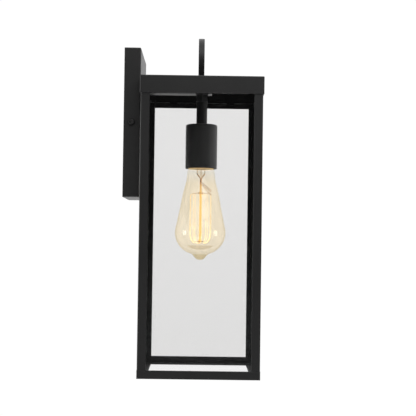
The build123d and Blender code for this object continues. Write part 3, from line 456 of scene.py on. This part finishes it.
def link_mesh(name, vertices, faces, smooth=True):
    mesh = bpy.data.meshes.new(name)
    mesh.from_pydata(vertices, [], faces)
    mesh.update()
    for polygon in mesh.polygons:
        polygon.use_smooth = smooth
    piece = bpy.data.objects.new(name, mesh)
    bpy.context.scene.collection.objects.link(piece)
    return piece


def joined(name, shapes, body, node, material, smooth=True):
    """One piece made of several shapes, in place of a CAD node."""
    vertices = []
    faces = []
    for shape_vertices, shape_faces in shapes:
        faces += [[corner + len(vertices) for corner in face] for face in shape_faces]
        vertices += shape_vertices
    piece = link_mesh(name, vertices, faces, smooth)
    piece.data.materials.append(material)
    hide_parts(node)
    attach(piece, body)
    return piece


def at(radius, degrees, down):
    """A point round the axis, in millimetres and down from the cup. 0 degrees is away from the wall."""
    angle = math.radians(degrees - 90)
    x = AXIS_X + radius * MM * math.cos(angle)
    y = AXIS_Y + radius * MM * math.sin(angle)
    return Vector((x, y, depth(down)))


def smooth_curve(points, steps=8):
    """Points on a smooth curve through the given (x, y) points."""
    points = [Vector(point) for point in points]
    result = []
    for index, (start, end) in enumerate(zip(points, points[1:])):
        chord = end - start
        leaving = arriving = chord
        if index > 0:
            before = start - points[index - 1]
            leaving = (before.normalized() + chord.normalized()) / 2 * chord.length
        if index < len(points) - 2:
            after = points[index + 2] - end
            arriving = (chord.normalized() + after.normalized()) / 2 * chord.length
        for step in range(steps):
            t = step / steps
            place = start * (2 * t**3 - 3 * t**2 + 1) + end * (3 * t**2 - 2 * t**3)
            result.append(place + leaving * (t**3 - 2 * t**2 + t) + arriving * (t**3 - t**2))
    result.append(points[-1])
    return result


def spun(outline, segments=96):
    """A closed surface turned about the lantern's axis, as (vertices, faces), from a closed loop of
    (radius, z). A point on the axis is one vertex, not a ring."""
    vertices = []
    rings = []
    for radius, z in outline:
        if radius < TINY:
            rings.append([len(vertices)] * segments)
            vertices.append(Vector((AXIS_X, AXIS_Y, z)))
            continue
        start = len(vertices)
        for step in range(segments):
            angle = math.tau * step / segments
            vertices.append(Vector((AXIS_X + radius * math.cos(angle), AXIS_Y + radius * math.sin(angle), z)))
        rings.append(list(range(start, start + segments)))
    faces = []
    for index, ring in enumerate(rings):
        other = rings[(index + 1) % len(rings)]
        for step in range(segments):
            after = (step + 1) % segments
            corners = [ring[step], ring[after], other[after], other[step]]
            corners = [corner for place, corner in enumerate(corners) if corner != corners[place - 1]]
            if len(corners) > 2:
                faces.append(corners)
    return vertices, faces


def swept(path, radius, sides=10):
    """A round wire or rod along a path, as (vertices, faces), with closed ends. radius is in metres, and
    may be one for each point."""
    radii = radius if isinstance(radius, list) else [radius] * len(path)
    vertices = []
    across = None
    for index, point in enumerate(path):
        before = path[max(index - 1, 0)]
        after = path[min(index + 1, len(path) - 1)]
        along = (after - before).normalized()
        if across is None:
            across = along.orthogonal()
        across = (across - along * across.dot(along)).normalized()
        other = along.cross(across)
        for side in range(sides):
            angle = math.tau * side / sides
            vertices.append(point + (across * math.cos(angle) + other * math.sin(angle)) * radii[index])
    faces = []
    for index in range(len(path) - 1):
        for side in range(sides):
            a = index * sides + side
            b = index * sides + (side + 1) % sides
            faces.append([a, b, b + sides, a + sides])
    faces.append(list(range(sides))[::-1])
    faces.append([(len(path) - 1) * sides + side for side in range(sides)])
    return vertices, faces


# Bulb. Its outline and its insides are in millimetres: a radius, and how far down from the cup.

BULB_WALL = 0.8 * MM
NECK_RADIUS = 11.5 * MM
BULB_OUTLINE = (
    (11.5, -4.2), (16.0, 0), (18.5, 15), (22.8, 32), (26.0, 49), (29.5, 66), (32.0, 81),
    (30.0, 91), (24.3, 99.5), (17.8, 104.5), (10.8, 107.5), (8.2, 110), (6.1, 112.4), (3.4, 114.2), (0, 115),
)
STEM_OUTLINE = (
    (10.6, -7.6), (7.0, -6.6), (5.9, -4.0), (5.7, 2.0), (5.6, 6.0), (4.4, 8.6), (2.0, 10.8), (1.2, 12.4),
)
STEM_WALL = 0.7 * MM
ROD_RADIUS = 1.3
ROD_FOOT = 92.8
TOP_BEAD = 30.8
FOOT_BEAD = 90.8
BEAD_RADIUS = 2.1
PRESS_END = 12.0

STRANDS = 10
STEP = 360 / STRANDS
CAGE_TURN = 6
CAGE_RADIUS = 13.6
CAGE_FOOT = ((13.5, 80), (13.1, 85), (11.6, 89.5), (9.2, 92.2), (7.9, 93.2))
STRAND_RADIUS = 0.24 * MM
WIRE = 0.2 * MM
LEAD = 0.5 * MM
TWIST_LENGTH = 7.5
TWIST_STEPS = 15
TWIST_DEGREES = 700


def outline_points(outline, steps=8):
    """A smooth outline in metres, as (radius, z), from millimetres."""
    return smooth_curve([(radius * MM, depth(down)) for radius, down in outline], steps)


def bulb_envelope():
    """The bulb's glass: its outline, and the same outline one wall further in."""
    outer = outline_points(BULB_OUTLINE)
    outer[-1].x = 0
    inner = [Vector((point.x - BULB_WALL, point.y)) for point in outer]
    inner = [point for point in inner if point.x > 0 and point.y > TIP_Z + BULB_WALL]
    inner.append(Vector((0, TIP_Z + BULB_WALL)))
    neck_top = glass_high.z
    loop = [(NECK_RADIUS, neck_top)] + [tuple(point) for point in outer]
    loop += [tuple(point) for point in reversed(inner)] + [(NECK_RADIUS - BULB_WALL, neck_top)]
    return [spun(loop)]


def stem():
    """The stem's glass: a flared tube that closes on the leads."""
    outer = outline_points(STEM_OUTLINE, 4)
    inner = [Vector((point.x - STEM_WALL, point.y + 0.3 * MM)) for point in outer if point.x > 0.9 * MM]
    return [spun([tuple(point) for point in outer] + [tuple(point) for point in reversed(inner)], 48)]


def bead(middle, radius):
    """The outline of a bead on the rod, as (down, radius)."""
    return [(middle - 1.2, radius - 0.3), (middle, radius), (middle + 1.2, radius - 0.3)]


def centre_rod():
    """A solid glass rod with a bead at either end of the cage, which carries the support wires."""
    outline = [(12.2, 0.9), (15, 1.0), (20, 1.2), (TOP_BEAD - 2.2, ROD_RADIUS)]
    outline += bead(TOP_BEAD, BEAD_RADIUS)
    outline += [(TOP_BEAD + 2.2, 1.4), (36, ROD_RADIUS), (FOOT_BEAD - 2.4, ROD_RADIUS)]
    outline += bead(FOOT_BEAD, BEAD_RADIUS + 0.1)
    outline.append((ROD_FOOT, 1.0))
    path = [at(0, 0, down) for down, radius in outline]
    return [swept(path, [radius * MM for down, radius in outline], 20)]


def strand(degrees):
    """One run of the filament from its top hook to its bottom hook, bent in at its foot."""
    points = [at(13.3, degrees, 33.4), at(13.5, degrees, 40), at(CAGE_RADIUS, degrees, 58),
              at(CAGE_RADIUS, degrees, 72)]
    return points + [at(radius, degrees, down) for radius, down in smooth_curve(CAGE_FOOT, 5)]


def filament():
    """The squirrel cage: one filament that runs up and down round the rod."""
    path = []
    for index in range(STRANDS):
        run = strand(STEP * (index + 0.5) + CAGE_TURN)
        path += run if index % 2 == 0 else run[::-1]
        between = STEP * (index + 1) + CAGE_TURN
        if index < STRANDS - 1:
            path.append(at(7.2, between, 93.9) if index % 2 == 0 else at(13.2, between, 32.2))
    return [swept(path, STRAND_RADIUS, 8)]


def supports():
    """Wires from the rod's two beads to the filament's hooks, and the bars that hold them in the beads."""
    shapes = [swept([at(3.4, 0, 91.8), at(3.4, 180, 91.8)], LEAD, 10)]
    for degrees in (0, -90, 180):
        shapes.append(swept([at(2.6, degrees, 29.9), at(2.6, degrees, 31.3)], 0.65 * MM, 10))
    for index in range(1, STRANDS, 2):
        low = STEP * index + CAGE_TURN
        top = low + STEP
        foot_hook = [at(7.2, low, 94.3), at(7.6, low, 93.2), at(6.2, low, 92.0), at(1.6, low, 91.2)]
        top_hook = [at(13.2, top, 31.4), at(13.7, top, 32.4), at(12.6, top, 31.6), at(6.5, top, 30.6),
                    at(1.6, top, TOP_BEAD)]
        shapes += [swept(foot_hook, WIRE, 6), swept(top_hook, WIRE, 6)]
    return shapes


def leads():
    """Lead wires: down the stem tube, into the press, twisted below it, and out to the filament's ends."""
    shapes = []
    for degrees in (0, 180):
        down_stem = [at(4.4, degrees, -6), at(4.6, degrees, 5.5), at(4.7, degrees, 6.8),
                     at(2.2, degrees, 9.8), at(0.8, degrees, PRESS_END)]
        twist = []
        for step in range(TWIST_STEPS + 1):
            share = step / TWIST_STEPS
            twist.append(at(0.75, degrees + TWIST_DEGREES * share, PRESS_END + TWIST_LENGTH * share))
        shapes += [swept(down_stem, [WIRE, WIRE, LEAD, 0.6 * MM, LEAD], 8), swept(twist, LEAD, 8)]
    exhaust = [at(0.1, 0, -6), at(0.1, 0, 9.5)]
    shapes.append(swept(exhaust, 0.35 * MM, 8))
    for degrees in (CAGE_TURN + STEP / 2, CAGE_TURN - STEP / 2):
        to_filament = [at(1.1, degrees, 20.4), at(11.0, degrees, 30.2), at(12.9, degrees, 31.6),
                       at(13.3, degrees, 33.6)]
        shapes.append(swept(to_filament, WIRE, 6))
    hairpin = [at(1.6, 0, 17.4), at(13.0, 0, 27.0), at(13.2, 0, 27.9), at(12.3, 0, 28.5), at(1.4, 0, 19.4)]
    shapes.append(swept(hairpin, 0.34 * MM, 8))
    return shapes


for name, shapes, node, slot, material in (
    ("bulb_envelope", bulb_envelope(), "bulb_glass", "amber_glass", MATERIALS["amber_glass"]),
    ("filament_cage", filament(), "bulb_filament", "filament", MATERIALS["filament"]),
    ("support_wires", supports(), "bulb_supports", "copper_wire", LIT_WIRE),
    ("lead_wires", leads(), "bulb_lead_wires", "copper_wire", LIT_WIRE),
    ("stem_glass", stem(), "bulb_stem", "bulb_stem_glass", MATERIALS["bulb_stem_glass"]),
    ("centre_rod", centre_rod(), "bulb_centre_rod", "bulb_stem_glass", ROD_GLASS),
):
    joined(name, shapes, "bulb", node, material)


# Panes with ground, slightly chamfered edges

PANE_CHAMFER = 0.35 * MM


def pane(node):
    """A pane's box with its edges chamfered: its two big faces are clear and the rest is ground."""
    low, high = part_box(node)
    middle = (low + high) / 2
    half = (high - low) / 2
    thin = min(range(3), key=lambda axis: half[axis])
    wide = [axis for axis in range(3) if axis != thin]
    rims = ((-half[thin], PANE_CHAMFER), (PANE_CHAMFER - half[thin], 0),
            (half[thin] - PANE_CHAMFER, 0), (half[thin], PANE_CHAMFER))
    vertices = []
    for level, inset in rims:
        for first, second in ((-1, -1), (1, -1), (1, 1), (-1, 1)):
            point = Vector(middle)
            point[thin] += level
            point[wide[0]] += first * (half[wide[0]] - inset)
            point[wide[1]] += second * (half[wide[1]] - inset)
            vertices.append(point)
    faces = [[0, 3, 2, 1], [12, 13, 14, 15]]
    for start in (0, 4, 8):
        for corner in range(4):
            after = (corner + 1) % 4
            faces.append([start + corner, start + after, start + 4 + after, start + 4 + corner])
    if thin == 1:
        faces = [face[::-1] for face in faces]
    glass = MATERIALS["clear_glass"]
    piece = joined("pane_" + node, [(vertices, faces)], "lantern", node, glass, smooth=False)
    piece.data.materials.append(GROUND_EDGE)
    for polygon in piece.data.polygons[2:]:
        polygon.material_index = 1


for node in ("glass_front", "glass_rear", "glass_left", "glass_right"):
    pane(node)


# Camera, from the lantern's side, so that the wall is at the left

CAMERA_PLACE = (-1.26693, -0.0936, -0.1365)
CAMERA_YAW = 0.458
CAMERA_PITCH = 1.610
CAMERA_ROLL = 0.78
CAMERA_LENS = 87.05


def make_camera():
    yaw, pitch, roll = (math.radians(value) for value in (CAMERA_YAW, CAMERA_PITCH, CAMERA_ROLL))
    forward = Vector((math.cos(pitch) * math.cos(yaw), -math.cos(pitch) * math.sin(yaw), math.sin(pitch)))
    level_right = forward.cross(Vector((0, 0, 1))).normalized()
    level_up = level_right.cross(forward)
    right = level_right * math.cos(roll) + level_up * math.sin(roll)
    up = level_up * math.cos(roll) - level_right * math.sin(roll)
    data = bpy.data.cameras.new("camera")
    data.lens = CAMERA_LENS
    data.sensor_width = 36
    camera = bpy.data.objects.new("camera", data)
    turn = Matrix((right, up, -forward)).transposed().to_4x4()
    camera.matrix_world = Matrix.Translation(CAMERA_PLACE) @ turn
    bpy.context.scene.collection.objects.link(camera)
    bpy.context.scene.camera = camera


# Studio

FLOOR_Z = -1.6
FLOOR_REACH = 4
WHITE = 1.02
LIGHT_AIM = (0, AXIS_Y, -0.12)


def make_floor():
    corners = [(x * FLOOR_REACH, y * FLOOR_REACH, FLOOR_Z) for x, y in ((-1, -1), (1, -1), (1, 1), (-1, 1))]
    floor = link_mesh("floor", corners, [(0, 1, 2, 3)])
    material, n = new_material("floor_material")
    pale = n.blend(n.noise(3), (0.80, 0.80, 0.80), (0.84, 0.84, 0.84))
    n.finish(n.principled(Base_Color=pale, Roughness=0.6))
    floor.data.materials.append(material)


def make_world():
    """White where the camera looks past the object. Elsewhere a studio: white beyond it, and dim on the near
    side, so that the panes have little to mirror."""
    world = bpy.data.worlds.new("studio")
    bpy.context.scene.world = world
    world.use_nodes = True
    world.node_tree.nodes.clear()
    n = Nodes(world.node_tree)
    way = n.split(n.add("ShaderNodeTexCoord").outputs["Generated"])
    off_axis = n.span(way["X"], 0.03, 0.4, -0.975, -0.3)
    wall_side = n.span(way["Y"], 1.0, 2.2, -0.2, 0.8)
    overhead = n.span(way["Z"], 0.4, 1.6, -0.3, 0.3)
    near = n.math("MULTIPLY", off_axis, n.math("MULTIPLY", wall_side, overhead))
    beyond = n.span(way["X"], 0.0, 1.0, 0.0, 0.7)
    strength = n.math("ADD", near, n.math("MULTIPLY", beyond, n.math("SUBTRACT", 1.0, near)))
    studio = n.shader("ShaderNodeBackground", Color=(1.0, 1.0, 1.0), Strength=strength)
    white = n.shader("ShaderNodeBackground", Color=(1.0, 1.0, 1.0), Strength=WHITE)
    seen = n.add("ShaderNodeLightPath").outputs["Is Camera Ray"]
    n.link(n.mix(seen, studio, white), n.add("ShaderNodeOutputWorld").inputs["Surface"])


def soft_light(name, place, size, power):
    """A square soft light that points at the lantern."""
    data = bpy.data.lights.new(name, "AREA")
    data.shape = "SQUARE"
    data.size = size
    data.energy = power
    lamp = bpy.data.objects.new(name, data)
    lamp.location = place
    lamp.rotation_euler = (Vector(LIGHT_AIM) - Vector(place)).to_track_quat("-Z", "Y").to_euler()
    bpy.context.scene.collection.objects.link(lamp)


make_camera()
make_floor()
make_world()
soft_light("key", (-0.85, -0.5, 0.75), 0.9, 4.6)
soft_light("window_wall_side", (-0.36, 1.5, -0.13), 0.6, 7)
soft_light("window_far_side", (-0.36, -1.7, -0.13), 0.6, 1.8)

scene = bpy.context.scene
scene.view_settings.view_transform = "Standard"
scene.cycles.transparent_max_bounces = 32
